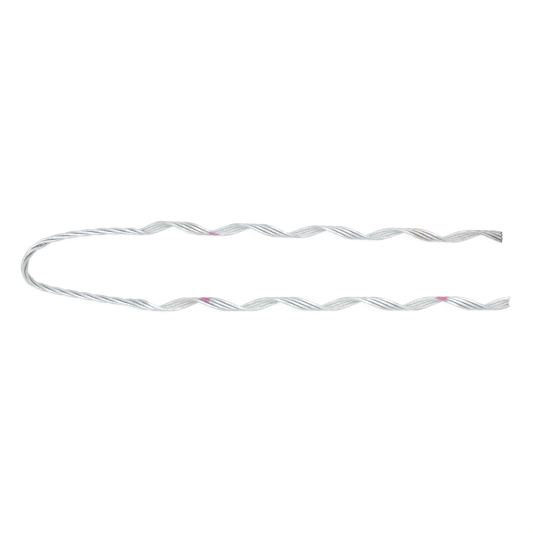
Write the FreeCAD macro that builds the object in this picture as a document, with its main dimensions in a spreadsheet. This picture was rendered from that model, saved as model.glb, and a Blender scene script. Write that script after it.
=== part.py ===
import FreeCAD, Part
import math
import os

# A preformed guy grip: four round steel rods that each run from the end of one leg, round the
# loop, to the end of the other leg. In the loop they are laid up as a closed strand. In the legs
# they open side by side into a ribbon wound round the bore that grips the guy wire, with a lining
# of grit on its inner face. X runs along the legs, Y across them and Z up. The origin is the
# middle of the strand at the crown of the loop, and the left leg is the one on the side of +Y.

Vector = FreeCAD.Vector
doc = FreeCAD.newDocument("guy_grip_dead_end")
sheet = doc.addObject("Spreadsheet::Sheet", "Sizes")

SIZES = (
    # the rods: lengths in mm and angles in degrees, here and below
    ("rod_count", 4),
    ("rod_diameter", 3.25),
    ("rod_gap", 0.13),
    # the round rods are drawn with flats, in straight steps that each turn by this angle
    ("rod_flats", 10),
    ("rod_step_turn", 46.8),
    # the legs, wound right-handed round the rods' inner radius
    ("rod_inner_radius", 4.4),
    ("leg_length", 395),
    ("left_leg_shortfall", 1.7),
    ("leg_pitch", 89.5),
    # the loop's strand, and the stretch at each leg's root over which it opens into the ribbon
    ("strand_lay", 67.53),
    ("crown_angle", 164),
    ("left_opening_length", 32),
    ("left_opening_past_root", -7.5),
    ("right_opening_length", 48),
    ("right_opening_past_root", 13.5),
    # inside the loop's left bend the first rod has sprung a little away from the others
    ("sprung_middle", 29),
    ("sprung_length", 42),
    ("sprung_lift", 1.8),
    # the loop's left half from the crown out: each bend as a length and the angle it turns
    ("left_bight_length", 41.7),
    ("left_bight_turn", 65.6),
    ("left_shoulder_length", 29.4),
    ("left_shoulder_turn", 12.7),
    ("left_arm_length", 64.6),
    ("left_arm_turn", 13.5),
    ("left_ease_length", 19.7),
    ("left_ease_turn", 21.1),
    # the right half, whose arm runs straight on into its leg
    ("right_bight_length", 38.4),
    ("right_bight_turn", 68.1),
    ("right_shoulder_length", 22.2),
    ("right_shoulder_turn", 10.1),
    ("right_arm_length", 93),
    ("right_arm_turn", 4.5),
    ("right_ease_length", 15.1),
    # both legs lean in towards each other by this angle
    ("leg_lean", 1.15),
    # the grit lining: a band on the ribbon's inner face
    ("grit_seat_gap", 0.1),
    ("grit_thickness", 0.4),
    ("grit_half_angle", 55),
    ("grit_root_margin", 6),
    ("grit_end_margin", 4),
    ("grit_patch_turn", 122),
)
for row, (name, value) in enumerate(SIZES, start=1):
    sheet.set(f"A{row}", name)
    sheet.set(f"B{row}", str(value))
    sheet.setAlias(f"B{row}", name)
doc.recompute()


def size(name):
    return float(sheet.get(name))


ROD_COUNT = int(size("rod_count"))
ROD_PITCH_DIAMETER = size("rod_diameter") + size("rod_gap")
LEG_RADIUS = size("rod_inner_radius") + size("rod_diameter") / 2
# the steps' corners stand out by this factor, so that their middles touch the round winding
CORNER_REACH = 1 / math.cos(math.radians(size("rod_step_turn")) / 2)
GRIT_OUTER_RADIUS = size("rod_inner_radius") - size("grit_seat_gap")
GRIT_BORE_RADIUS = GRIT_OUTER_RADIUS - size("grit_thickness")
SIDES = {"left": 1, "right": -1}
# a ruled surface joins two edges start to start
FORWARD = 1


def side_bends(side):
    """The bends of one half of the loop from the crown out, as (length, turn towards the axis)."""
    bends = [
        (size(f"{side}_{part}_length"), math.radians(size(f"{side}_{part}_turn")))
        for part in ("bight", "shoulder", "arm")
    ]
    full_turn = math.radians(90 + size("leg_lean"))
    left_over = full_turn - sum(turn for _, turn in bends)
    ease = size(f"{side}_ease_length")
    if side == "left":
        # the left arm runs inside its leg's line, so it eases outwards and back
        outwards = math.radians(size("left_ease_turn"))
        return bends + [(ease, -outwards), (ease, left_over + outwards)]
    return bends + [(ease, left_over)]


BENDS = {side: side_bends(side) for side in SIDES}
ROOT = {side: sum(length for length, _ in BENDS[side]) for side in SIDES}
REACH = {
    "left": ROOT["left"] + size("leg_length") - size("left_leg_shortfall"),
    "right": ROOT["right"] + size("leg_length"),
}


def middle_line(side, distance):
    """The middle line at a distance from the crown: the point, and the way that faces out."""
    x = 0.0
    across = 0.0
    heading = math.pi / 2
    for length, turn in BENDS[side] + [(math.inf, 0.0)]:
        run = min(distance, length)
        if turn:
            radius = length / turn
            next_heading = heading - run / radius
            x += radius * (math.sin(heading) - math.sin(next_heading))
            across += radius * (math.cos(next_heading) - math.cos(heading))
            heading = next_heading
        else:
            x += run * math.cos(heading)
            across += run * math.sin(heading)
        distance -= run
        if distance <= 0:
            break
    way = SIDES[side]
    point = Vector(x, way * across, 0)
    outwards = Vector(-math.sin(heading), way * math.cos(heading), 0)
    return point, outwards


def opened(side, distance):
    """How far the strand has opened into the ribbon there, from 0 to 1, and that share summed
    along the line from the crown."""
    end = ROOT[side] + size(f"{side}_opening_past_root")
    length = size(f"{side}_opening_length")
    share = min(max((distance - end + length) / length, 0.0), 1.0)
    smooth = share * share * (3 - 2 * share)
    summed = length * share**3 * (1 - share / 2) + max(distance - end, 0.0)
    return smooth, summed


def lay_rate(share):
    """Turns per mm along the middle line, where the strand has opened by that share."""
    return (1 - share) / size("strand_lay") + share / size("leg_pitch")


def bundle_turns(side, distance):
    """The turns that the rods make together from the crown out."""
    summed = opened(side, distance)[1]
    return distance * lay_rate(0.0) + summed * (lay_rate(1.0) - lay_rate(0.0))


def bundle_angle(side, distance):
    """The angle of the middle of the rods, from facing out towards up."""
    turned = 2 * math.pi * bundle_turns(side, distance)
    return math.radians(size("crown_angle")) + SIDES[side] * turned


def side_by_side(radius, rate):
    """The angle from one rod to the next, where rods wound at that radius just clear each other."""
    slope = math.sin(math.atan2(1, 2 * math.pi * radius * rate))
    clear = (2 * radius / ROD_PITCH_DIAMETER) ** 2 - 1
    return 2 * math.atan2(1, slope * math.sqrt(clear))


def closed_radius():
    """The radius at which the rods of the strand just clear each other all the way round."""
    radius = ROD_PITCH_DIAMETER / (2 * math.sin(math.pi / ROD_COUNT))
    for _ in range(8):
        slope = math.sin(math.atan2(1, 2 * math.pi * radius * lay_rate(0.0)))
        spread = slope * math.tan(math.pi / ROD_COUNT)
        radius = ROD_PITCH_DIAMETER / 2 * math.sqrt(1 + 1 / spread**2)
    return radius


STRAND_RADIUS = closed_radius()


def rod_spacing(side, distance):
    """The radius of the rods' middle lines there, and the angle from one to the next."""
    share = opened(side, distance)[0]
    radius = STRAND_RADIUS + (LEG_RADIUS - STRAND_RADIUS) * share
    return radius, side_by_side(radius, lay_rate(share))


def outer_rod_turns(side, distance):
    """The turns of the rod that turns most: the bundle's own, and what that rod gains as the rods
    close up from all the way round into the ribbon."""
    closed_up = rod_spacing(side, 0.0)[1] - rod_spacing(side, distance)[1]
    gained = (ROD_COUNT - 1) / 2 * closed_up / (2 * math.pi)
    return bundle_turns(side, distance) + gained


def find_stations(side):
    """The distances from the crown at which the straight steps meet, each as much turn on."""
    reach = REACH[side]
    turns = outer_rod_turns(side, reach)
    steps = math.ceil(turns * 360 / size("rod_step_turn"))
    stations = [0.0]
    for step in range(1, steps):
        low = stations[-1]
        high = reach
        # halving the stretch forty times leaves it far under a micron
        for _ in range(40):
            middle = (low + high) / 2
            if outer_rod_turns(side, middle) < turns * step / steps:
                low = middle
            else:
                high = middle
        stations.append(high)
    return stations + [reach]


STATIONS = {side: find_stations(side) for side in SIDES}


def sprung_lift(index, side, distance):
    """How far the first rod stands off the strand there."""
    from_middle = abs(distance - size("sprung_middle")) / size("sprung_length")
    if index or side != "left" or from_middle > 0.5:
        return 0.0
    return size("sprung_lift") * math.cos(math.pi * from_middle) ** 2


def rod_point(index, side, distance):
    """A corner of a rod's path, on the rod's own middle line."""
    radius, step = rod_spacing(side, distance)
    angle = bundle_angle(side, distance) + (index - (ROD_COUNT - 1) / 2) * step
    point, outwards = middle_line(side, distance)
    up = Vector(0, 0, 1)
    reach = radius * CORNER_REACH + sprung_lift(index, side, distance)
    return point + (outwards * math.cos(angle) + up * math.sin(angle)) * reach


def rod_path(index):
    """A rod's path from the end of the left leg round the loop to the end of the right leg."""
    left = [rod_point(index, "left", distance) for distance in reversed(STATIONS["left"])]
    right = [rod_point(index, "right", distance) for distance in STATIONS["right"]]
    return left + right[1:]


def make_rod(index):
    """A rod: its section carried along its path, in straight steps with mitred joints."""
    name = f"rod_{index + 1}"
    points = rod_path(index)
    spine = doc.addObject("Part::Feature", f"{name}_path")
    spine.Shape = Part.makePolygon(points)
    section = doc.addObject("Part::RegularPolygon", f"{name}_section")
    section.setExpression("Polygon", "Sizes.rod_flats")
    section.setExpression("Circumradius", "Sizes.rod_diameter / 2")
    along = FreeCAD.Rotation(Vector(0, 0, 1), points[1] - points[0])
    section.Placement = FreeCAD.Placement(points[0], along)
    rod = doc.addObject("Part::Sweep", name)
    rod.Sections = [section]
    rod.Spine = (spine, [])
    rod.Solid = True
    rod.Frenet = False
    rod.Transition = "Right corner"
    rod.Label = name
    return rod


def wall_patch(radius, low, high):
    """A patch of a bore's wall between two heights, with its sides following the ribbon. Each end
    is (height, angle of the band's middle)."""
    wall = Part.Cylinder()
    wall.Radius = radius
    half = math.radians(size("grit_half_angle"))
    ends = ((low, -half), (low, half), (high, half), (high, -half))
    corners = [FreeCAD.Base.Vector2d(end[1] + offset, end[0]) for end, offset in ends]
    edges = [
        Part.Geom2d.Line2dSegment(start, stop).toShape(wall)
        for start, stop in zip(corners, corners[1:] + corners[:1])
    ]
    return edges, Part.Face(wall, Part.Wire(edges))


def make_grit_lining(side):
    """The band of grit on one leg's ribbon, round an exact bore, built upright on its own axis."""
    start = ROOT[side] + size(f"{side}_opening_past_root") + size("grit_root_margin")
    stop = REACH[side] - size("grit_end_margin")
    turned = 360 * (stop - start) / size("leg_pitch")
    patches = math.ceil(turned / size("grit_patch_turn"))
    faces = []
    rings = []
    for k in range(patches + 1):
        height = (stop - start) * k / patches
        rings.append((height, SIDES[side] * bundle_angle(side, start + height)))
    for k in range(patches):
        inner, inner_face = wall_patch(GRIT_BORE_RADIUS, rings[k], rings[k + 1])
        outer, outer_face = wall_patch(GRIT_OUTER_RADIUS, rings[k], rings[k + 1])
        faces += [inner_face, outer_face]
        # each patch has its two sides, and the first and last have the band's ends
        ruled = [1, 3] + [0] * (k == 0) + [2] * (k == patches - 1)
        faces += [Part.makeRuledSurface(inner[edge], outer[edge], FORWARD) for edge in ruled]
    shell = Part.Shell(faces)
    shell.sewShape()
    lining = doc.addObject("Part::Feature", f"{side}_grit_lining")
    lining.Shape = Part.Solid(shell)
    root, outwards = middle_line(side, start)
    tip, _ = middle_line(side, stop)
    along = (tip - root).normalize()
    upright = FreeCAD.Rotation(outwards, along.cross(outwards), along, "ZXY")
    lining.Placement = FreeCAD.Placement(root, upright)
    lining.Label = lining.Name
    return lining


subparts = [make_rod(index) for index in range(ROD_COUNT)]
subparts += [make_grit_lining(side) for side in SIDES]
doc.recompute()

failed = [o.Name for o in doc.Objects if {"Invalid", "Error"} & set(o.State)]
for subpart in subparts:
    if subpart.Shape.isNull() or not subpart.Shape.isValid() or len(subpart.Shape.Solids) != 1:
        failed.append(subpart.Label)
if failed:
    raise RuntimeError(f"these objects failed: {failed}")

os.makedirs("parts", exist_ok=True)
for subpart in subparts:
    subpart.Shape.exportStep(f"parts/{subpart.Label}.step")
    box = subpart.Shape.BoundBox
    low = [round(value, 1) for value in (box.XMin, box.YMin, box.ZMin)]
    high = [round(value, 1) for value in (box.XMax, box.YMax, box.ZMax)]
    print(subpart.Label, round(subpart.Shape.Volume), "mm3, from", low, "to", high)
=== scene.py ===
"""A preformed guy grip dead-end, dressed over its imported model.

Four galvanised rods are laid up as a strand round a loop, and in the two legs they open side by
side into a ribbon wound round an empty bore, with grit on the ribbon's inner face. Shapes are
worked out in millimetres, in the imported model's frame, and go into the meshes in metres.
"""

import logging
import math
from dataclasses import dataclass
from enum import Enum
from typing import Any

import bpy
import numpy as np
from mathutils import Matrix, Vector
from numpy.typing import NDArray


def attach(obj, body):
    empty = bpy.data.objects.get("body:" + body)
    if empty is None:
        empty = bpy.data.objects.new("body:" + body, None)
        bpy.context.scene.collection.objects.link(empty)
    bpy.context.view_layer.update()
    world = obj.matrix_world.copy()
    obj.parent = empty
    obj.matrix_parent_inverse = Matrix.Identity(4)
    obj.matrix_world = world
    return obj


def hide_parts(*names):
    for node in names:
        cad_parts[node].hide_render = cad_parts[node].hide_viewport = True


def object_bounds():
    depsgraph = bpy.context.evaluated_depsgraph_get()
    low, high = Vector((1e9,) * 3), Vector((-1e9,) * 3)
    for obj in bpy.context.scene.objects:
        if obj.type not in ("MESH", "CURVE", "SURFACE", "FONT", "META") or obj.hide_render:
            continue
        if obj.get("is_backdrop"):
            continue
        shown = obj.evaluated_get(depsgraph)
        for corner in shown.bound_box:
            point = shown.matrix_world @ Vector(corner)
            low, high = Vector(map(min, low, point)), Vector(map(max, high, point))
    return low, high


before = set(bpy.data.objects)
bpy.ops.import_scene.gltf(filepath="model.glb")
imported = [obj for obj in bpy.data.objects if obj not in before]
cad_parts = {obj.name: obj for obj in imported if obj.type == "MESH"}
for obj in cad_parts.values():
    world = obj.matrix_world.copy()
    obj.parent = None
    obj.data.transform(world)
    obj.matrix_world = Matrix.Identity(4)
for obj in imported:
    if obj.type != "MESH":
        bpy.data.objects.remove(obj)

Array = NDArray[np.float64]

MM = 0.001
UP = np.array([0.0, 0.0, 1.0])
log = logging.getLogger("guy_grip")


class Leg(Enum):
    """The two legs, each with the way along Y in which it lies from the crown."""

    LEFT = 1
    RIGHT = -1


class Face(Enum):
    """The two faces of a leg's ribbon, as the sign of the cosine round a rod that faces there."""

    OUTER = 1
    INNER = -1


def smooth_step(value: Array) -> Array:
    """Ease from 0 to 1 as the value goes from 0 to 1, by 3t² - 2t³."""
    share = np.clip(value, 0.0, 1.0)
    return share * share * (3.0 - 2.0 * share)


def bump_at(value: Array, middle: float, width: float) -> Array:
    """A bell of height 1 round a middle, which has fallen to 1/e at the width."""
    return np.exp(-(((value - middle) / width) ** 2))


def unit(vectors: Array) -> Array:
    """Scale each vector of an array to length 1."""
    return vectors / np.linalg.norm(vectors, axis=-1, keepdims=True)


def spaced(start: float, stop: float, spacing: float) -> Array:
    """Evenly spaced places from start to stop, the spacing or a little more apart."""
    return np.linspace(start, stop, int((stop - start) / spacing) + 1)


# The middle line


@dataclass(frozen=True)
class Bend:
    """An arc of the middle line: its length in mm, and the degrees it turns to the leg."""

    length: float
    turn: float


@dataclass(frozen=True)
class HalfLine:
    """One half of the grip's middle line, from the crown of the loop to a leg's end.

    The line leaves the crown straight along Y, turns through the bends, and has turned by 90
    degrees and the leg's lean when its last bend reaches the leg's root.
    """

    leg: Leg
    bends: tuple[Bend, ...]
    last_bend_length: float
    opening_length: float
    opening_past_root: float
    leg_length: float = 395.0
    leg_lean: float = 1.15

    @property
    def arcs(self) -> Array:
        """The bends and the straight leg.

        Returns:
            One row for each arc, with its length in mm and its turn in radians.
        """
        turned = sum(bend.turn for bend in self.bends)
        rows = [(bend.length, bend.turn) for bend in self.bends]
        rows += [(self.last_bend_length, 90.0 + self.leg_lean - turned), (self.leg_length, 0.0)]
        return np.array(rows) * (1.0, math.pi / 180.0)

    @property
    def root(self) -> float:
        """The distance from the crown to the leg's root."""
        return float(self.arcs[:-1, 0].sum())

    @property
    def reach(self) -> float:
        """The distance from the crown to the leg's end."""
        return self.root + self.leg_length

    def chords(self, runs: Array, turns: Array, headings: Array) -> Array:
        """The chords of arcs.

        A chord is run * sin(turn / 2) / (turn / 2) long, and points along the heading less half
        the turn.

        Args:
            runs: the arcs' lengths.
            turns: the angles that they turn.
            headings: the headings at their starts, from X.

        Returns:
            The chords as rows of x and the distance out along Y.
        """
        long = runs * np.sinc(turns / (2.0 * math.pi))
        middle = headings - turns / 2.0
        return np.stack([long * np.cos(middle), long * np.sin(middle)], axis=-1)

    def at(self, distance: Array) -> tuple[Array, Array]:
        """Follow the middle line: the chords of the arcs passed, and the chord of the run since.

        Args:
            distance: distances from the crown in mm.

        Returns:
            The points, and the directions that face out of the loop.
        """
        lengths, turns = self.arcs.T
        starts = np.concatenate([[0.0], np.cumsum(lengths)[:-1]])
        headings = math.pi / 2.0 - np.concatenate([[0.0], np.cumsum(turns)[:-1]])
        corners = np.cumsum(self.chords(lengths, turns, headings), axis=0)
        corners = np.concatenate([[[0.0, 0.0]], corners[:-1]])
        arc = np.searchsorted(starts, distance, side="right") - 1
        run = distance - starts[arc]
        turned = turns[arc] * run / lengths[arc]
        place = corners[arc] + self.chords(run, turned, headings[arc])
        heading = headings[arc] - turned
        flat = np.zeros_like(heading)
        way = self.leg.value
        points = np.stack([place[:, 0], way * place[:, 1], flat], axis=-1)
        outwards = np.stack([-np.sin(heading), way * np.cos(heading), flat], axis=-1)
        return points, outwards

    def opened(self, distance: Array) -> tuple[Array, Array]:
        """How far the strand has opened into the ribbon.

        The share s is eased as 3s² - 2s³, whose sum along the line is the opening's length times
        s³ (1 - s / 2), and from the opening's end on the distance past it.

        Args:
            distance: distances from the crown in mm.

        Returns:
            The share, eased from 0 to 1 over the opening, and that share summed along the line.
        """
        end = self.root + self.opening_past_root
        share = np.clip((distance - end) / self.opening_length + 1.0, 0.0, 1.0)
        summed = self.opening_length * share**3 * (1.0 - share / 2.0)
        return smooth_step(share), summed + np.maximum(distance - end, 0.0)


LEFT_HALF = HalfLine(
    leg=Leg.LEFT,
    bends=(Bend(41.7, 65.6), Bend(29.4, 12.7), Bend(64.6, 13.5), Bend(19.7, -21.1)),
    last_bend_length=19.7,
    opening_length=32.0,
    opening_past_root=-7.5,
    leg_length=393.3,
)
RIGHT_HALF = HalfLine(
    leg=Leg.RIGHT,
    bends=(Bend(38.4, 68.1), Bend(22.2, 10.1), Bend(93.0, 4.5)),
    last_bend_length=15.1,
    opening_length=48.0,
    opening_past_root=13.5,
)


@dataclass(frozen=True)
class Bundle:
    """How the rods lie about the middle line at a row of stations.

    The along value is the distance from the crown, taken negative in the left half. Angles are
    measured from the way that faces out of the loop, towards up.
    """

    along: Array
    points: Array
    outwards: Array
    share: Array
    angle: Array
    radius: Array
    step: Array

    def direction(self, angle: Array) -> Array:
        """The direction at each station's angle, or row of angles, round the middle line."""
        outwards = self.outwards if angle.ndim == 1 else self.outwards[:, None, :]
        return outwards * np.cos(angle)[..., None] + UP * np.sin(angle)[..., None]


@dataclass(frozen=True)
class Winding:
    """The rods' lay: a closed strand in the loop, and an open ribbon in the legs."""

    rod_count: int = 4
    rod_diameter: float = 3.25
    rod_gap: float = 0.13
    inner_radius: float = 4.4
    leg_pitch: float = 89.5
    strand_lay: float = 67.53
    crown_angle: float = 164.0
    # the strand's radius and its rods' slope set each other, and settle in a few rounds
    settling_rounds: int = 8

    @property
    def rod_radius(self) -> float:
        """Half the rods' diameter."""
        return self.rod_diameter / 2.0

    @property
    def outermost(self) -> float:
        """How many steps the ribbon's outermost rods are from its middle."""
        return (self.rod_count - 1) / 2.0

    @property
    def leg_radius(self) -> float:
        """The radius of the rods' middle lines in the legs."""
        return self.inner_radius + self.rod_radius

    def lay_rate(self, share: Array | float) -> Array | float:
        """Turns per mm along the middle line, where the strand has opened by the share."""
        return (1.0 - share) / self.strand_lay + share / self.leg_pitch

    def slope(self, radius: Array | float, rate: Array | float) -> Array | float:
        """The sine of the angle between a wound rod and the section across the bundle."""
        return np.sin(np.arctan2(1.0, 2.0 * math.pi * radius * rate))

    def step_angle(self, radius: Array, rate: Array) -> Array:
        """The angle from one rod to the next where they lie side by side, just clear.

        A wound rod crosses the section at a slope, so it is wider round the bundle than it is
        thick by one over the sine of that slope.

        Args:
            radius: the radius of the rods' middle lines.
            rate: the turns per mm.

        Returns:
            The angles in radians.
        """
        clear = (2.0 * radius / (self.rod_diameter + self.rod_gap)) ** 2 - 1.0
        return 2.0 * np.arctan2(1.0, self.slope(radius, rate) * np.sqrt(clear))

    @property
    def strand_radius(self) -> float:
        """The radius at which the strand's rods just clear each other all the way round.

        It is half the rod and its gap, times the root of 1 + 1 / (slope * tan(pi / rods))².

        Returns:
            The radius in mm.
        """
        radius = self.rod_diameter
        for _ in range(self.settling_rounds):
            spread = self.slope(radius, self.lay_rate(0.0)) * math.tan(math.pi / self.rod_count)
            radius = (self.rod_diameter + self.rod_gap) / 2.0 * math.sqrt(1.0 + spread**-2)
        return float(radius)

    def bundle(self, along: Array) -> Bundle:
        """Lay the bundle out at a row of stations.

        The bundle turns by the strand's rate times the distance, and by the difference between
        the ribbon's rate and the strand's times the opened share's sum.

        Args:
            along: distances from the crown, negative in the left half.

        Returns:
            The bundle's line, opening, angle, radius and step from rod to rod.
        """
        left = along < 0.0
        distance = np.abs(along)
        halves = [half.at(distance) + half.opened(distance) for half in (LEFT_HALF, RIGHT_HALF)]
        points, outwards, share, summed = (
            np.where(left if ours.ndim == 1 else left[:, None], ours, theirs)
            for ours, theirs in zip(*halves)
        )
        strand_rate = self.lay_rate(0.0)
        turns = distance * strand_rate + summed * (self.lay_rate(1.0) - strand_rate)
        way = np.where(left, Leg.LEFT.value, Leg.RIGHT.value)
        angle = math.radians(self.crown_angle) + way * 2.0 * math.pi * turns
        radius = self.strand_radius + (self.leg_radius - self.strand_radius) * share
        step = self.step_angle(radius, self.lay_rate(share))
        return Bundle(along, points, outwards, share, angle, radius, step)


WINDING = Winding()


# Marks and stains that the surfaces carry


@dataclass(frozen=True)
class Mark:
    """A painted band that shows where the legs cross, brushed on the ribbon's outer face.

    The brush starts so many mm round the bore from the ribbon's middle, and may miss a rod. The
    paint gets no thicker than it is so many mm inside its edge.
    """

    leg: Leg
    past_root: float
    half_width: float
    starts_across: float = -math.inf
    thickest: float = math.inf


@dataclass(frozen=True)
class Stain:
    """A patch of rust-coloured dirt on one face of a leg's ribbon."""

    leg: Leg
    past_root: float
    half_length: float
    face: Face
    strength: float


MARKS = (
    Mark(Leg.LEFT, 59.0, 6.0, thickest=1.8),
    Mark(Leg.RIGHT, 60.0, 6.2, starts_across=-4.4),
    Mark(Leg.RIGHT, 320.4, 7.2),
)
STAINS = (
    Stain(Leg.LEFT, 39.0, 9.0, Face.OUTER, 0.45),
    Stain(Leg.LEFT, 298.0, 13.0, Face.OUTER, 1.0),
    Stain(Leg.LEFT, 350.0, 12.0, Face.INNER, 0.35),
    Stain(Leg.RIGHT, 40.0, 9.0, Face.INNER, 0.2),
    Stain(Leg.RIGHT, 392.0, 6.0, Face.INNER, 0.4),
)
# where the brush starts, the paint thickens so many times as fast as at its other edges
BRUSH_START_SLOPE = 3.0
# the left leg's last stretch is dull with handling
GRIME_START, GRIME_FULL = 345.0, 372.0
# round the end of the loop the zinc is a little darker too, as painted shade
BEND_SHADE, BEND_REACH = 0.32, 40.0
# the left leg's tips have lost their zinc over this length, and all of it in the last third
BARE_LENGTH, BARE_SLOPE = 1.6, 1.5


def past_root(along: Array, leg: Leg) -> Array:
    """How far along a leg each station is from its root, and below zero on the other leg."""
    half = LEFT_HALF if leg is Leg.LEFT else RIGHT_HALF
    return -leg.value * along - half.root


def mark_depth(along: Array, across: Array) -> Array:
    """How many mm each point of the ribbon lies inside the nearest mark's edge.

    A mark runs square across the rods. Unrolled, they climb by k for each mm along the leg, so a
    point's place on the leg counts with k / (1 + k²) of its way across the ribbon.

    Args:
        along: the stations, one for each row.
        across: the points' ways round the bore from the ribbon's middle, in mm.

    Returns:
        The depths, which are below zero outside the marks.
    """
    climb = 2.0 * math.pi * WINDING.leg_radius / WINDING.leg_pitch
    lean = climb / (1.0 + climb**2)
    depths = []
    for mark in MARKS:
        place = past_root(along, mark.leg)[:, None] + mark.leg.value * lean * across
        depth = mark.half_width - np.abs(place - mark.past_root)
        depth = np.minimum(depth, BRUSH_START_SLOPE * (across - mark.starts_across))
        depths.append(np.minimum(depth, mark.thickest))
    return np.max(depths, axis=0)


def stain_amount(along: Array, face: Face) -> Array:
    """How stained one face is at each station, as the sum of its stains' bells.

    Args:
        along: the stations.
        face: the face of the ribbon.

    Returns:
        The amounts, from 0 to 1.
    """
    amounts = [
        stain.strength * bump_at(past_root(along, stain.leg), stain.past_root, stain.half_length)
        for stain in STAINS
        if stain.face is face
    ]
    return np.clip(np.sum(amounts, axis=0), 0.0, 1.0)


def grime_and_shade_amount(along: Array) -> Array:
    """How dark each station is with handling dirt, or with painted shade round the loop's end if more.

    Args:
        along: the stations.

    Returns:
        The amounts, from 0 to 1.
    """
    place = past_root(along, Leg.LEFT)
    handled = smooth_step((place - GRIME_START) / (GRIME_FULL - GRIME_START))
    return np.maximum(handled, BEND_SHADE * bump_at(along, 0.0, BEND_REACH))


def bare_amount(along: Array) -> Array:
    """How far the zinc is gone at each station, from 0 to 1."""
    from_tip = LEFT_HALF.leg_length - past_root(along, Leg.LEFT)
    return smooth_step(BARE_SLOPE * (1.0 - from_tip / BARE_LENGTH))


# Meshes


def show(name: str, data: bpy.types.ID) -> bpy.types.Object:
    """Put a mesh, a lamp or a camera into the scene.

    Args:
        name: the object's name.
        data: what the object shows.

    Returns:
        The object, at the origin.
    """
    thing = bpy.data.objects.new(name, data)
    bpy.context.scene.collection.objects.link(thing)
    return thing


def grid_quads(rows: int, columns: int, closed: bool) -> NDArray[np.int64]:
    """The quads of a grid of vertices that is stored row by row.

    Args:
        rows: how many rows the grid has.
        columns: how many vertices each row has.
        closed: whether each row runs round into its first vertex.

    Returns:
        One row of four vertex numbers for each quad.
    """
    row = np.arange(rows - 1)[:, None] * columns
    column = np.arange(columns if closed else columns - 1)[None, :]
    beside = (column + 1) % columns
    corners = (row + column, row + beside, row + columns + beside, row + columns + column)
    return np.stack(corners, axis=-1).reshape(-1, 4)


def make_piece(
    name: str,
    points: Array,
    faces: list[list[int]],
    attributes: dict[str, Array],
    materials: list[bpy.types.Material],
    finish_of_face: NDArray[np.int64],
) -> bpy.types.Object:
    """Put a worked-out surface into a mesh, smooth, with its attributes and materials.

    Args:
        name: the piece's name.
        points: the vertices in mm, one row each.
        faces: the vertex numbers of each face, outwards.
        attributes: for each attribute, one number or one vector per vertex.
        materials: the materials in the order that finish_of_face counts them.
        finish_of_face: the number of each face's material.

    Returns:
        The object, at the origin.
    """
    mesh = bpy.data.meshes.new(name)
    mesh.from_pydata((points * MM).tolist(), [], faces)
    mesh.polygons.foreach_set("use_smooth", np.ones(len(faces), dtype=bool))
    mesh.polygons.foreach_set("material_index", finish_of_face.astype(np.int32))
    for attribute, values in attributes.items():
        kind, key = ("FLOAT", "value") if values.ndim == 1 else ("FLOAT_VECTOR", "vector")
        layer = mesh.attributes.new(attribute, kind, "POINT")
        layer.data.foreach_set(key, values.astype(np.float32).ravel())
    for material in materials:
        mesh.materials.append(material)
    mesh.update()
    return show(name, mesh)


# Finishes


# the Mix node's inputs for its share and its two colours, by number, because its inputs for
# other kinds of value have the same names
SHARE, UNDER, OVER = 0, 6, 7
# what can feed a node's input
Source = bpy.types.NodeSocket | bpy.types.Node


def linear(colour: str) -> tuple[float, float, float, float]:
    """Turn an sRGB colour into Blender's linear colour.

    Each value v becomes v / 12.92 up to 0.04045, and ((v + 0.055) / 1.055) ** 2.4 above it.

    Args:
        colour: the colour in hex, after a hash sign.

    Returns:
        Red, green and blue, and an alpha of 1.
    """
    values = [int(colour[start : start + 2], 16) / 255.0 for start in (1, 3, 5)]
    low = [value / 12.92 for value in values]
    high = [((value + 0.055) / 1.055) ** 2.4 for value in values]
    mixed = [a if v <= 0.04045 else b for v, a, b in zip(values, low, high)]
    return (*mixed, 1.0)


def add(
    tree: bpy.types.NodeTree, kind: str, settings: dict[str | int, Any] | None = None,
    links: dict[str | int, Source] | None = None,
) -> bpy.types.Node:
    """Add a node to a tree with its settings and links.

    Args:
        tree: the tree.
        kind: the node's type, without the ShaderNode that all start with.
        settings: values for the node's properties, or for its inputs by name or number, where a
            hex colour is turned linear.
        links: for inputs by name or number, the outputs that feed them, or the nodes whose first
            output in use does.

    Returns:
        The node.
    """
    node = tree.nodes.new(f"ShaderNode{kind}")
    for key, value in (settings or {}).items():
        if isinstance(key, str) and hasattr(node, key):
            setattr(node, key, value)
        else:
            node.inputs[key].default_value = linear(value) if isinstance(value, str) else value
    for key, source in (links or {}).items():
        if isinstance(source, bpy.types.Node):
            source = next(output for output in source.outputs if output.enabled)
        tree.links.new(source, node.inputs[key])
    return node


def new_material(name: str) -> tuple[bpy.types.Material, bpy.types.NodeTree]:
    """Start a material with an empty node tree.

    Args:
        name: the name of the real material.

    Returns:
        The material and its tree.
    """
    material = bpy.data.materials.new(name)
    material.use_nodes = True
    material.node_tree.nodes.clear()
    return material, material.node_tree


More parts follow.
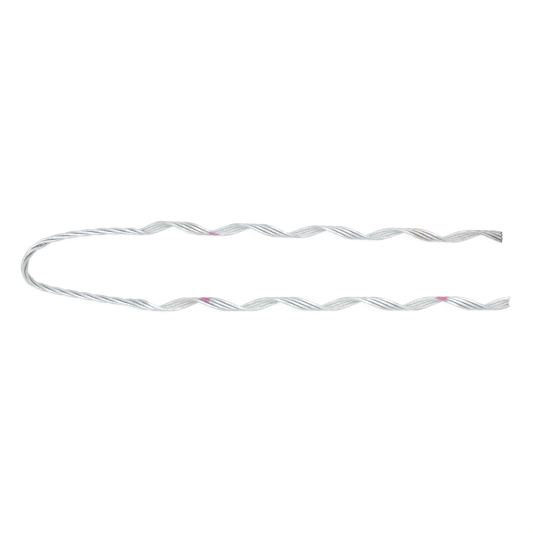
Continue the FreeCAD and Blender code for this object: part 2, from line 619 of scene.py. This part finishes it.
@dataclass(frozen=True)
class GalvanisedWire:
    """High-carbon steel wire, drawn and then hot-dip galvanised.

    The zinc is bright, smoother in some stretches than in others, with faint lines from drawing
    that run along the wire. Shade is painted where rods touch, as long even lines, and round the
    loop's end. The marks are paint brushed on so thin that zinc shows through, ragged at the edge.
    """

    zinc: str = "#d8dadc"
    dull_zinc: str = "#bdc1c3"
    # painted shade where rods touch, darker than the zinc
    crevice_shade: str = "#6f7372"
    rust_stain: str = "#a07a3c"
    # the grey of handling dirt, also laid round the loop's end as painted shade
    handled: str = "#8d8d88"
    bare_steel: str = "#4b4a48"
    paint: str = "#c9689f"
    thin_paint: str = "#b58fb4"
    # the zinc flows into dull and bright stretches some 12 mm long
    patch_length: float = 12.0
    # drawing lines are about 0.05 mm apart, and are drawn at 0.5 mm so that they show
    draw_line_spacing: float = 0.5
    draw_line_length: float = 25.0
    draw_line_depth: float = 0.02
    # dirt dries in spots of about 1 mm; painted shade lies in lines some 20 mm long where rods touch
    dirt_spots_per_mm: float = 0.9
    shade_lines_per_mm: tuple[float, float, float] = (0.6, 0.6, 0.05)
    # the brush left the paint's edge ragged by about 3 mm, every 2 mm or so
    paint_raggedness: float = 3.0
    paint_rags_per_mm: float = 0.55
    # the share of the zinc that even the thickest paint hides, and that a full stain hides
    paint_cover: float = 0.85
    stain_cover: float = 0.6

    def material(self) -> bpy.types.Material:
        """Build the material, which reads the rod's own attributes.

        Returns:
            The material.
        """
        material, tree = new_material("hot-dip galvanised drawn wire")
        wire = add(tree, "Attribute", {"attribute_name": "straightened"})
        place = wire.outputs["Vector"]
        amounts: dict[str, Source] = {
            name: add(tree, "Attribute", {"attribute_name": name}).outputs["Fac"]
            for name in ("crevice", "grime_and_shade", "bare", "stain", "mark")
        }
        # bright and dull zinc
        patches = add(
            tree, "TexNoise", {"Scale": 1.0 / self.patch_length, "Detail": 3.0}, {"Vector": place}
        )
        dullness = add(tree, "MapRange", {"From Min": 0.35, "From Max": 0.7}, {"Value": patches})
        soiled = add(
            tree, "Mix", {"data_type": "RGBA", UNDER: self.zinc, OVER: self.dull_zinc}, {SHARE: dullness}
        )
        # lines from drawing, and the lines that break up the painted shade where rods touch
        across = 1.0 / self.draw_line_spacing
        draw_lines_per_mm = (across, across, 1.0 / self.draw_line_length)
        stretched = []
        for per_mm in (draw_lines_per_mm, self.shade_lines_per_mm):
            along = add(tree, "Mapping", {"Scale": per_mm}, {"Vector": place})
            settings = {"Scale": 1.0, "Detail": 2.0}
            stretched.append(add(tree, "TexNoise", settings, {"Vector": along}))
        lines, shade_lines = stretched
        in_crevices = add(
            tree, "MapRange", {"From Min": 0.3, "From Max": 0.7, "To Min": 0.7}, {"Value": shade_lines}
        )
        # spots that break up what hands and rust leave, and the painted shade round the loop's end
        spots = add(tree, "TexNoise", {"Scale": self.dirt_spots_per_mm, "Detail": 4.0}, {"Vector": place})
        on_faces = add(
            tree, "MapRange", {"From Min": 0.35, "From Max": 0.75, "To Min": 0.35}, {"Value": spots}
        )
        for name, reach in (("crevice", in_crevices), ("grime_and_shade", on_faces), ("stain", on_faces)):
            amounts[name] = add(tree, "Math", {"operation": "MULTIPLY"}, {0: amounts[name], 1: reach})
        # what lies on the zinc, from the first layer to the last, where the first is painted shade
        for name, layer in (
            ("crevice", self.crevice_shade), ("grime_and_shade", self.handled),
            ("bare", self.bare_steel), ("stain", self.rust_stain),
        ):
            soiled = add(
                tree, "Mix", {"data_type": "RGBA", OVER: layer}, {SHARE: amounts[name], UNDER: soiled}
            )
        # paint, thin and bluish at its ragged edge, and fuller inside
        ragged = add(
            tree, "TexNoise", {"Scale": self.paint_rags_per_mm, "Detail": 3.0}, {"Vector": place}
        )
        edge = add(
            tree, "MapRange", {"To Min": -self.paint_raggedness, "To Max": self.paint_raggedness},
            {"Value": ragged},
        )
        depth = add(tree, "Math", {"operation": "ADD"}, {0: amounts["mark"], 1: edge})
        cover = add(
            tree, "MapRange", {"From Min": -1.2, "From Max": 3.0, "To Max": self.paint_cover},
            {"Value": depth},
        )
        body = add(tree, "MapRange", {"From Min": 0.4, "From Max": 3.2}, {"Value": depth})
        paint = add(
            tree, "Mix", {"data_type": "RGBA", UNDER: self.thin_paint, OVER: self.paint}, {SHARE: body}
        )
        colour = add(tree, "Mix", {"data_type": "RGBA"}, {SHARE: cover, UNDER: soiled, OVER: paint})
        # metal shows where neither paint nor rust covers it
        rusted = add(tree, "Math", {"operation": "MULTIPLY", 1: self.stain_cover}, {0: amounts["stain"]})
        covered = add(tree, "Math", {"operation": "MAXIMUM"}, {0: cover, 1: rusted})
        metal = add(tree, "Math", {"operation": "SUBTRACT", 0: 1.0}, {1: covered})
        # dull zinc and drawing lines scatter the light
        grain = add(tree, "Math", {"operation": "ADD"}, {0: dullness, 1: lines})
        roughness = add(
            tree, "MapRange", {"From Max": 1.6, "To Min": 0.3, "To Max": 0.48}, {"Value": grain}
        )
        bump = add(
            tree, "Bump", {"Strength": 0.12, "Distance": self.draw_line_depth * MM}, {"Height": lines}
        )
        surface = add(
            tree, "BsdfPrincipled", None,
            {"Base Color": colour, "Metallic": metal, "Roughness": roughness, "Normal": bump},
        )
        add(tree, "OutputMaterial", None, {"Surface": surface})
        return material


@dataclass(frozen=True)
class ShearedSteel:
    """The steel core at a cut end, sheared through and left bare.

    It is dark and rough, with a torn grain and a little rust, inside the zinc's bright rim.
    """

    steel: str = "#57544f"
    rust: str = "#7d5c40"
    grain_size: float = 0.35
    grain_depth: float = 0.05

    def material(self) -> bpy.types.Material:
        """Build the material, patterned on the rod straightened out.

        Returns:
            The material.
        """
        material, tree = new_material("sheared steel")
        wire = add(tree, "Attribute", {"attribute_name": "straightened"})
        grain = add(
            tree, "TexNoise", {"Scale": 1.0 / self.grain_size, "Detail": 4.0},
            {"Vector": wire.outputs["Vector"]},
        )
        rusted = add(tree, "MapRange", {"From Min": 0.5, "From Max": 0.75}, {"Value": grain})
        colour = add(
            tree, "Mix", {"data_type": "RGBA", UNDER: self.steel, OVER: self.rust}, {SHARE: rusted}
        )
        bump = add(tree, "Bump", {"Strength": 0.6, "Distance": self.grain_depth * MM}, {"Height": grain})
        surface = add(
            tree, "BsdfPrincipled", {"Metallic": 0.85, "Roughness": 0.5},
            {"Base Color": colour, "Normal": bump},
        )
        add(tree, "OutputMaterial", None, {"Surface": surface})
        return material


@dataclass(frozen=True)
class BondedGrit:
    """Aluminium oxide grit dusted on wet adhesive.

    It is matt and nearly white, with grains of many tones, a few that glint, and darker adhesive
    that shows as thin lines in the valleys between the rods.
    """

    grit: str = "#eef0f0"
    dark_grain: str = "#d2d6d6"
    adhesive: str = "#949998"
    rust_stain: str = "#9c8a68"
    # grains are about 0.3 mm, and are drawn at 0.6 mm so that they show
    grain_size: float = 0.6
    grain_depth: float = 0.12
    # rust creeps over the grit in clouds some 2.5 mm wide
    stain_size: float = 2.5

    def material(self) -> bpy.types.Material:
        """Build the material, which reads the coat's own attributes.

        Returns:
            The material.
        """
        material, tree = new_material("bonded aluminium oxide grit")
        place, valley, stain = (
            add(tree, "Attribute", {"attribute_name": name}).outputs[output]
            for name, output in (("unrolled", "Vector"), ("valley", "Fac"), ("stain", "Fac"))
        )
        # each grain has its own tone, and a few are smooth enough to glint
        grains = add(tree, "TexVoronoi", {"Scale": 1.0 / self.grain_size}, {"Vector": place})
        tone = add(tree, "SeparateColor", None, {"Color": grains.outputs["Color"]})
        dark = add(tree, "MapRange", {"From Min": 0.45, "To Max": 0.8}, {"Value": tone.outputs["Red"]})
        grit = add(
            tree, "Mix", {"data_type": "RGBA", UNDER: self.grit, OVER: self.dark_grain}, {SHARE: dark}
        )
        glint = add(
            tree, "MapRange", {"From Min": 0.8, "From Max": 0.95, "To Min": 0.85, "To Max": 0.35},
            {"Value": tone.outputs["Green"]},
        )
        # adhesive shows in the valleys, and rust lies over both in clouds
        filled = add(
            tree, "Mix", {"data_type": "RGBA", OVER: self.adhesive}, {SHARE: valley, UNDER: grit}
        )
        clouds = add(tree, "TexNoise", {"Scale": 1.0 / self.stain_size, "Detail": 4.0}, {"Vector": place})
        patchy = add(tree, "MapRange", {"From Min": 0.4, "From Max": 0.6}, {"Value": clouds})
        stained = add(tree, "Math", {"operation": "MULTIPLY"}, {0: stain, 1: patchy})
        colour = add(
            tree, "Mix", {"data_type": "RGBA", OVER: self.rust_stain}, {SHARE: stained, UNDER: filled}
        )
        bump = add(
            tree, "Bump", {"Strength": 0.8, "Distance": self.grain_depth * MM, "invert": True},
            {"Height": grains.outputs["Distance"]},
        )
        surface = add(
            tree, "BsdfPrincipled", {"IOR": 1.76},
            {"Base Color": colour, "Roughness": glint, "Normal": bump},
        )
        add(tree, "OutputMaterial", None, {"Surface": surface})
        return material


# The grip's pieces


@dataclass(frozen=True)
class SprungStretch:
    """A stretch of the loop's left bend where a rod stands off the strand, as cos² of its way."""

    rod: int = 0
    middle: float = 29.0
    length: float = 42.0
    lift: float = 1.8

    def share_at(self, along: Array) -> Array:
        """How far the rod stands off at each station, as a share of the lift."""
        from_middle = np.abs(-along - self.middle) / self.length
        return np.where(from_middle < 0.5, np.cos(math.pi * from_middle) ** 2, 0.0)


SPRUNG = SprungStretch()


@dataclass(frozen=True)
class Rod:
    """A rod from the end of the left leg, round the loop, to the end of the right leg."""

    index: int
    ring_spacing: float = 1.0
    sides: int = 28
    # the sheared ends, as mm back from the tip and share of the rod's radius
    tip: tuple[tuple[float, float], ...] = (
        (0.5, 1.0), (0.2, 0.975), (0.06, 0.91), (0.0, 0.82), (0.0, 0.6), (-0.03, 0.15),
    )
    # how many strips of faces at each end lie inside the tip's rounded rim
    cut_strips: int = 2
    # how wide painted shade and clinging stains lie round the rod from where it touches the next, in
    # degrees
    crevice_width: float = 24.0
    # how sharply the rod's outer side gives way to its inner side
    side_contrast: float = 1.5
    # how many mm of the paint's depth the rod's inner side lacks, which no brush reaches
    unpainted: float = 9.0
    # the share of a stain that clings to the rod away from the crevices
    open_stain: float = 0.35
    # how far apart the rods' patterns lie, so that no two rods look the same
    pattern_spacing: float = 2000.0

    @property
    def name(self) -> str:
        """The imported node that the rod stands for."""
        return f"rod_{self.index + 1}"

    @property
    def steps_from_middle(self) -> float:
        """How many steps the rod is from the ribbon's middle."""
        return self.index - WINDING.outermost

    def rings(self) -> tuple[Array, Array, Array, Bundle]:
        """Carry a ring along the rod.

        The rod's middle line lies at the bundle's radius, at the bundle's angle plus the rod's
        own steps. At each station the ring is spanned by the way out from the middle line and
        the way round it, both square to the rod.

        Returns:
            The rings' middles, the two spanning directions and the bundle.
        """
        bundle = WINDING.bundle(spaced(-LEFT_HALF.reach, RIGHT_HALF.reach, self.ring_spacing))
        out = bundle.direction(bundle.angle + self.steps_from_middle * bundle.step)
        reach = bundle.radius
        if self.index == SPRUNG.rod:
            reach = reach + SPRUNG.lift * SPRUNG.share_at(bundle.along)
        middles = bundle.points + out * reach[:, None]
        ahead = unit(np.gradient(middles, axis=0))
        out = unit(out - ahead * np.sum(out * ahead, axis=-1, keepdims=True))
        return middles, out, np.cross(out, ahead), bundle

    def close_ends(self, values: Array, steps: Array | None = None) -> Array:
        """Repeat a row of values past both ends for the tips' rings.

        Args:
            values: one value or vector for each ring of the rod's body.
            steps: the change per mm at each end, towards the tips, or None to repeat the value.

        Returns:
            The values for all rings, from the left tip to the right one.
        """
        back = np.array(self.tip)[:, :1]
        first = np.repeat(values[:1], len(back), axis=0)
        last = np.repeat(values[-1:], len(back), axis=0)
        if steps is not None:
            first = first - back * steps[0]
            last = last - back * steps[1]
        return np.concatenate([first[::-1], values[1:-1], last])

    def crevice(self, around: Array, bundle: Bundle) -> Array:
        """How near each vertex is to where the rod touches its neighbours, from 0 to 1.

        A neighbour lies at a right angle and half a step round the rod from its outer side. The
        ribbon's first and last rods have one neighbour, and in the strand all have two. No painted
        shade lies where the sprung rod stands off.

        Args:
            around: the angles round the rod.
            bundle: the bundle at each ring.

        Returns:
            One row of values for each ring.
        """
        width = math.radians(self.crevice_width)
        place = (math.pi / 2.0 + bundle.step / 2.0)[:, None]
        near = np.zeros((len(bundle.along), len(around)))
        for way, last_rod in ((1, WINDING.rod_count - 1), (-1, 0)):
            apart = np.angle(np.exp(1j * (around - way * place)))
            weight = 1.0 - bundle.share * (self.index == last_rod)
            if SPRUNG.rod in (self.index, (self.index + way) % WINDING.rod_count):
                weight = weight * (1.0 - SPRUNG.share_at(bundle.along))
            near += weight[:, None] * bump_at(apart, 0.0, width)
        return np.clip(near, 0.0, 1.0)

    def markings(self, around: Array, bundle: Bundle) -> dict[str, Array]:
        """What the rod's surface carries for its material.

        Args:
            around: the angles round the rod.
            bundle: the bundle at each ring.

        Returns:
            For each attribute, one row of values for each ring of the rod's body.
        """
        ones = np.ones((len(bundle.along), len(around)))
        facing = {
            face: smooth_step(face.value * np.cos(around) * self.side_contrast + 0.5)
            for face in Face
        }
        near = self.crevice(around, bundle)
        stain = sum(stain_amount(bundle.along, face)[:, None] * facing[face] for face in Face)
        place = self.steps_from_middle * bundle.step * bundle.radius
        across = place[:, None] + WINDING.rod_radius * np.sin(around)
        depth = mark_depth(bundle.along, across) - self.unpainted * facing[Face.INNER]
        return {
            "mark": depth,
            "crevice": near,
            "stain": np.clip(stain * (self.open_stain + near), 0.0, 1.0),
            "grime_and_shade": grime_and_shade_amount(bundle.along)[:, None] * ones,
            "bare": bare_amount(bundle.along)[:, None] * ones,
        }

    def build(self, wire: bpy.types.Material, cut: bpy.types.Material) -> bpy.types.Object:
        """Build the rod. Past each end, rings that shrink by the tip's shares close it.

        Args:
            wire: the drawn surface's material.
            cut: the sheared ends' material.

        Returns:
            The finished piece.
        """
        middles, out, round_way, bundle = self.rings()
        around = np.arange(self.sides) * 2.0 * math.pi / self.sides
        shrink = np.array(self.tip)[:, 1]
        shares = np.concatenate([shrink[::-1], np.ones(len(middles) - 2), shrink])
        radius = (WINDING.rod_radius * shares)[:, None]
        ends = unit(np.stack([middles[0] - middles[1], middles[-1] - middles[-2]]))
        centres = self.close_ends(middles, ends)
        spans = [self.close_ends(way)[:, None, :] for way in (out, round_way)]
        circle = spans[0] * np.cos(around)[:, None] + spans[1] * np.sin(around)[:, None]
        points = centres[:, None, :] + circle * radius[..., None]
        along = self.close_ends(bundle.along[:, None] * np.ones(self.sides), np.array([-1.0, 1.0]))
        lengthwise = along + self.pattern_spacing * self.index
        straightened = [radius * np.cos(around), radius * np.sin(around), lengthwise]
        attributes = {
            name: self.close_ends(values).ravel()
            for name, values in self.markings(around, bundle).items()
        }
        attributes["straightened"] = np.stack(straightened, axis=-1).reshape(-1, 3)
        strips = len(centres) - 1
        quads = grid_quads(len(centres), self.sides, closed=True)
        first_cap = list(range(self.sides))[::-1]
        last_cap = [number + strips * self.sides for number in range(self.sides)]
        strip = np.arange(len(quads)) // self.sides
        cut_quads = np.minimum(strip, strips - 1 - strip) < self.cut_strips
        finish = np.concatenate([cut_quads, [True, True]]).astype(np.int64)
        return make_piece(
            f"wound_{self.name}", points.reshape(-1, 3), quads.tolist() + [first_cap, last_cap],
            attributes, [wire, cut], finish,
        )


@dataclass(frozen=True)
class GritCoat:
    """The grit on the inner face of one leg's ribbon.

    It follows the rods, fills the bottoms of the valleys between them, and is lumpy with grains.
    At its ragged start and along its sides it thins out and dips into the rods.
    """

    half: HalfLine
    # how far before the ribbon is fully open the grit starts
    lead: float
    end_margin: float = 1.5
    # how far the front stands off the rods, and how far the back lies inside them
    thickness: float = 0.24
    embedded: float = 0.12
    # the coat's reach past the middles of the outermost rods, as a share of the step
    overhang: float = 0.45
    # how far the valleys' filled floor lies inside the rods' middle lines, and how thick it is
    valley_depth: float = 0.825
    floor_thickness: float = 0.35
    # past the outermost rods the floor is out of the way by this much
    no_floor: float = 2.0
    # the cover begins this far past the start, give or take the lumps
    start_inset: float = 3.2
    start_raggedness: float = 1.6
    # from the sides it grows as if half the coat were this wide, give or take the lumps
    half_width: float = 8.0
    side_raggedness: float = 0.4
    # it grows over this width, and this share of that growth is done at the very edge
    edge_width: float = 1.2
    edge_cover: float = 0.12
    # with no cover, the front dips into the rods by this share of the thickness, and the
    # valleys' floor sinks this far
    edge_dip: float = 0.25
    floor_sinks: float = 0.6
    least_thickness: float = 0.04
    # adhesive shows where the rods lie less than this inside their middle lines, and fully after
    # the fade
    adhesive_depth: float = 1.025
    adhesive_fade: float = 0.35
    ring_spacing: float = 0.65
    columns: int = 64
    lump_height: float = 0.05
    lump_lengths: tuple[float, float] = (2.0, 6.0)
    lump_waves: int = 14
    lump_seed: int = 11
    grain_height: float = 0.045
    grain_seed: int = 23

    @property
    def name(self) -> str:
        """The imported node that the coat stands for."""
        return f"{self.half.leg.name.lower()}_grit_lining"

    def rod_contour(self, offset: Array, bundle: Bundle) -> Array:
        """The radius at which a line from the bore's axis meets the nearest rod.

        In the section across the leg a rod is an ellipse, as thick as the rod and wider by one
        over the sine of its slope. Its inner side is the smaller root of the line's quadratic,
        and between two rods, where the line meets neither, it is the line's nearest approach.

        Args:
            offset: angles from the ribbon's middle, one row for each station.
            bundle: the bundle at each station.

        Returns:
            The radii in mm.
        """
        step = bundle.step[:, None]
        last = WINDING.outermost
        nearest = np.clip(np.round(offset / step + last), 0, WINDING.rod_count - 1) - last
        apart = offset - nearest * step
        thick = WINDING.rod_radius
        radius = bundle.radius[:, None]
        wide = thick / WINDING.slope(radius, WINDING.lay_rate(bundle.share[:, None]))
        square = (np.cos(apart) / thick) ** 2 + (np.sin(apart) / wide) ** 2
        middle = radius * np.cos(apart) / thick**2
        constant = (radius / thick) ** 2 - 1.0
        return (middle - np.sqrt(np.maximum(middle**2 - square * constant, 0.0))) / square

    def lumps(self, width: Array, along: Array) -> Array:
        """Uneven adhesive: a sum of waves in random directions, from about -1 to 1.

        Args:
            width: how far round the bore each point is from the ribbon's middle, in mm.
            along: how far along the leg it is.

        Returns:
            The sum at each point.
        """
        random = np.random.default_rng(self.half.leg.value + self.lump_seed)
        total = np.zeros_like(width)
        for length, way, phase in zip(
            random.uniform(*self.lump_lengths, self.lump_waves),
            random.uniform(0.0, math.pi, self.lump_waves),
            random.uniform(0.0, 2.0 * math.pi, self.lump_waves),
        ):
            run = width * math.cos(way) + along * math.sin(way)
            total += np.sin(2.0 * math.pi * run / length + phase)
        return total / math.sqrt(self.lump_waves)

    def sheets(
        self, distance: Array, across: Array, offset: Array, bundle: Bundle
    ) -> tuple[Array, Array, Array]:
        """Work out the coat's front and back.

        The front is the rods' contour less the thickness, or the valleys' floor where that lies
        further in, with lumps and grains. The back is the contour and the embedded depth, or the
        floor's underside. The cover falls to nothing at the sides and ends, and there the front
        dips into the rods.

        Args:
            distance: the rows' distances from the crown.
            across: the columns' places, from -1 to 1.
            offset: the columns' angles from the ribbon's middle, one row for each station.
            bundle: the bundle at each row.

        Returns:
            The front's radii, the back's radii, and how far adhesive shows, from 0 to 1.
        """
        middle_lines = bundle.radius[:, None]
        contour = self.rod_contour(offset, bundle)
        width = offset * middle_lines
        lumps = self.lumps(width, distance[:, None])
        random = np.random.default_rng(self.half.leg.value + self.grain_seed)
        rough = self.lump_height * lumps
        rough = rough + self.grain_height * random.uniform(-1.0, 1.0, width.shape)
        past_start = distance[:, None] - distance[0] - self.start_inset
        past_start = past_start + self.start_raggedness * lumps
        sides = (1.0 - np.abs(across)) * self.half_width + self.side_raggedness * lumps
        inset = np.minimum(np.minimum(sides, past_start), distance[-1] - distance[:, None])
        cover = smooth_step(inset / self.edge_width + self.edge_cover)
        in_ribbon = np.abs(offset) < WINDING.outermost * bundle.step[:, None]
        floor = middle_lines - self.valley_depth + np.where(in_ribbon, 0.0, self.no_floor)
        floor = floor + self.floor_sinks * (1.0 - cover)
        built_up = (1.0 + self.edge_dip) * cover - self.edge_dip
        front = np.minimum(contour - self.thickness * built_up, floor)
        front = front + rough * smooth_step(inset)
        back = np.minimum(contour + self.embedded, floor + self.floor_thickness)
        front = np.minimum(front, back - self.least_thickness)
        deep = contour - (middle_lines - self.adhesive_depth)
        return front, back, smooth_step(deep / self.adhesive_fade) * in_ribbon

    def faces(self, rows: int) -> NDArray[np.int64]:
        """The faces of a front and a back joined all round.

        Each row of vertices runs along the front and back along the back, so the sides close
        themselves, and a strip of quads closes each end. The legs are wound the same way but run
        opposite ways, so the right leg's faces are turned round to point outwards.

        Args:
            rows: how many rows of vertices there are.

        Returns:
            One row of four vertex numbers for each quad.
        """
        count = 2 * self.columns
        column = np.arange(self.columns - 1)
        cap = np.stack([column, count - 1 - column, count - 2 - column, column + 1], axis=-1)
        other = cap[:, ::-1] + (rows - 1) * count
        quads = np.concatenate([grid_quads(rows, count, closed=True), cap, other])
        return quads[:, ::-1] if self.half.leg is Leg.RIGHT else quads

    def build(self, grit: bpy.types.Material) -> bpy.types.Object:
        """Build the coat from its front and its back.

        Args:
            grit: the coat's material.

        Returns:
            The finished piece.
        """
        half = self.half
        start = half.root + half.opening_past_root - self.lead
        distance = spaced(start, half.reach - self.end_margin, self.ring_spacing)
        bundle = WINDING.bundle(-half.leg.value * distance)
        across = np.linspace(-1.0, 1.0, self.columns)
        offset = across * (WINDING.outermost + self.overhang) * bundle.step[:, None]
        front, back, valley = self.sheets(distance, across, offset, bundle)
        direction = bundle.direction(bundle.angle[:, None] + offset)
        middle = bundle.points[:, None, :]
        points = [middle + direction * radius[..., None] for radius in (front, back)]

        def both(values: Array) -> Array:
            """The same values on the front and on the back."""
            return np.concatenate([values, values[:, ::-1]], axis=1)

        width = offset * bundle.radius[:, None]
        ones = np.ones_like(width)
        unrolled = [both(width), both(0.0 * ones), both(distance[:, None] * ones)]
        stain = stain_amount(bundle.along, Face.INNER)[:, None] * ones
        attributes = {
            "unrolled": np.stack(unrolled, axis=-1).reshape(-1, 3),
            "valley": both(valley).ravel(),
            "stain": both(stain).ravel(),
        }
        faces = self.faces(len(distance)).tolist()
        loops = np.concatenate([points[0], points[1][:, ::-1]], axis=1)
        return make_piece(
            f"{half.leg.name.lower()}_grit_coat", loops.reshape(-1, 3), faces, attributes,
            [grit], np.zeros(len(faces), dtype=np.int64),
        )


@dataclass(frozen=True)
class GuyGrip:
    """The whole grip: four rods and two coats of grit."""

    wire: GalvanisedWire = GalvanisedWire()
    cut: ShearedSteel = ShearedSteel()
    grit: BondedGrit = BondedGrit()
    coats: tuple[GritCoat, ...] = (GritCoat(LEFT_HALF, lead=20.0), GritCoat(RIGHT_HALF, lead=15.0))

    def place(self, piece: bpy.types.Object, node: str, slot: str) -> None:
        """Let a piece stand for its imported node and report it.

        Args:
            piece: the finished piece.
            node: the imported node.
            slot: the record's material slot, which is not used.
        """
        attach(piece, "root")
        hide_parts(node)
        log.info("%s stands for %s, with %d faces", piece.name, node, len(piece.data.polygons))

    def build(self) -> None:
        """Build and place every piece."""
        wire, cut, grit = (finish.material() for finish in (self.wire, self.cut, self.grit))
        for index in range(WINDING.rod_count):
            rod = Rod(index)
            self.place(rod.build(wire, cut), rod.name, "galvanised_steel")
        for coat in self.coats:
            self.place(coat.build(grit), coat.name, "bonded_grit")


# The studio


@dataclass(frozen=True)
class SoftBox:
    """A soft box lamp: a plain rectangle that shines evenly.

    Its brightness is what a white card shows when lit by nothing but a whole sky as bright.
    """

    name: str
    place: tuple[float, float, float]
    width: float
    depth: float
    brightness: float
    target: tuple[float, float, float] = (400.0, 0.0, 0.0)

    def build(self) -> None:
        """Hang the lamp, facing its target. Power is pi * area * brightness."""
        lamp = bpy.data.lights.new(self.name, "AREA")
        lamp.shape = "RECTANGLE"
        lamp.size, lamp.size_y = self.width * MM, self.depth * MM
        lamp.energy = math.pi * lamp.size * lamp.size_y * self.brightness
        box = show(self.name, lamp)
        place, target = Vector(self.place) * MM, Vector(self.target) * MM
        box.location = place
        box.rotation_euler = (target - place).to_track_quat("-Z", "Y").to_euler()


@dataclass(frozen=True)
class Studio:
    """A white table in soft light, with the camera where the photograph has it."""

    # the camera, worked out from the legs' scales and the elevation that the winding shows
    camera_place: tuple[float, float, float] = (283.4, -559.5, 799.3)
    camera_target: tuple[float, float, float] = (274.2, 0.2, 0.0)
    image_lean: float = 0.94
    focal_pixels: float = 862.0
    image_pixels: float = 533.0
    sensor_width: float = 36.0
    table_size: float = 6000.0
    clip_metres: tuple[float, float] = (0.01, 50.0)
    # the table's white mostly shines by itself, and the rest takes the light, so that shadows
    # stay faint, and what lights the grip from below is plain paper
    table_glow: float = 0.87
    table_shade: float = 0.18
    paper: float = 0.85
    world_strength: float = 0.55
    world_seen: float = 1.0
    soft_boxes: tuple[SoftBox, ...] = (
        SoftBox("overhead", (400.0, -150.0, 900.0), 1100.0, 600.0, 1.68),
        SoftBox("front", (400.0, -900.0, 500.0), 1100.0, 400.0, 1.05),
    )

    def seen(self, tree: bpy.types.NodeTree) -> Source:
        """Tell apart the rays that come from the camera, a reflection or glass.

        Args:
            tree: the tree that asks.

        Returns:
            What gives 1 for such a ray, and 0 for any other.
        """
        path = add(tree, "LightPath")
        ray = path.outputs["Is Camera Ray"]
        for kind in ("Is Glossy Ray", "Is Transmission Ray"):
            ray = add(tree, "Math", {"operation": "MAXIMUM"}, {0: ray, 1: path.outputs[kind]})
        return ray

    def table(self) -> bpy.types.Object:
        """Build a flat white table, level with the lowest point of the object.

        Returns:
            The table.
        """
        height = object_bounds()[0][2]
        half = self.table_size / 2.0 * MM
        corners = [(-half, -half), (half, -half), (half, half), (-half, half)]
        mesh = bpy.data.meshes.new("table")
        middle = self.camera_target[0] * MM
        mesh.from_pydata([(x + middle, y, height) for x, y in corners], [], [(0, 1, 2, 3)])
        material, tree = new_material("white table paper")
        paper, shaded = (
            add(tree, "BsdfDiffuse", {"Color": (tone, tone, tone, 1.0)})
            for tone in (self.paper, self.table_shade)
        )
        glow = add(tree, "Emission", {"Strength": self.table_glow})
        white = add(tree, "AddShader", None, {0: shaded, 1: glow})
        mixed = add(tree, "MixShader", None, {0: self.seen(tree), 1: paper, 2: white})
        add(tree, "OutputMaterial", None, {"Surface": mixed})
        mesh.materials.append(material)
        return show("table", mesh)

    def world(self) -> None:
        """An even sky, which lights at one strength and is seen at another."""
        world = bpy.data.worlds.new("studio")
        world.use_nodes = True
        tree = world.node_tree
        tree.nodes.clear()
        strength = add(
            tree, "MapRange", {"To Min": self.world_strength, "To Max": self.world_seen},
            {"Value": self.seen(tree)},
        )
        sky = add(tree, "Background", {"Color": (1.0, 1.0, 1.0, 1.0)}, {"Strength": strength})
        add(tree, "OutputWorld", None, {"Surface": sky})
        bpy.context.scene.world = world

    def camera(self) -> None:
        """The camera: its back axis runs from the target to it, and its side axis lies level."""
        lens = bpy.data.cameras.new("camera")
        lens.sensor_width = self.sensor_width
        lens.lens = self.focal_pixels / self.image_pixels * self.sensor_width
        lens.clip_start, lens.clip_end = self.clip_metres
        place, target = Vector(self.camera_place), Vector(self.camera_target)
        lean = math.radians(self.image_lean)
        back = (place - target).normalized()
        side = Vector((math.cos(lean), math.sin(lean), 0.0))
        top = back.cross(side).normalized()
        side = top.cross(back)
        camera = show("camera", lens)
        turn = Matrix((side, top, back)).transposed().to_4x4()
        camera.matrix_world = Matrix.Translation(place * MM) @ turn
        bpy.context.scene.camera = camera

    def build(self) -> None:
        """Set the table, the lamps, the world and the camera, and the plain view."""
        self.table()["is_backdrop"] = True
        for box in self.soft_boxes:
            box.build()
        self.world()
        self.camera()
        bpy.context.scene.view_settings.view_transform = "Standard"


def main() -> None:
    """Dress the grip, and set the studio."""
    logging.basicConfig(level=logging.INFO, format="%(name)s: %(message)s")
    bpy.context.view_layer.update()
    GuyGrip().build()
    Studio().build()


if __name__ == "__main__":
    main()
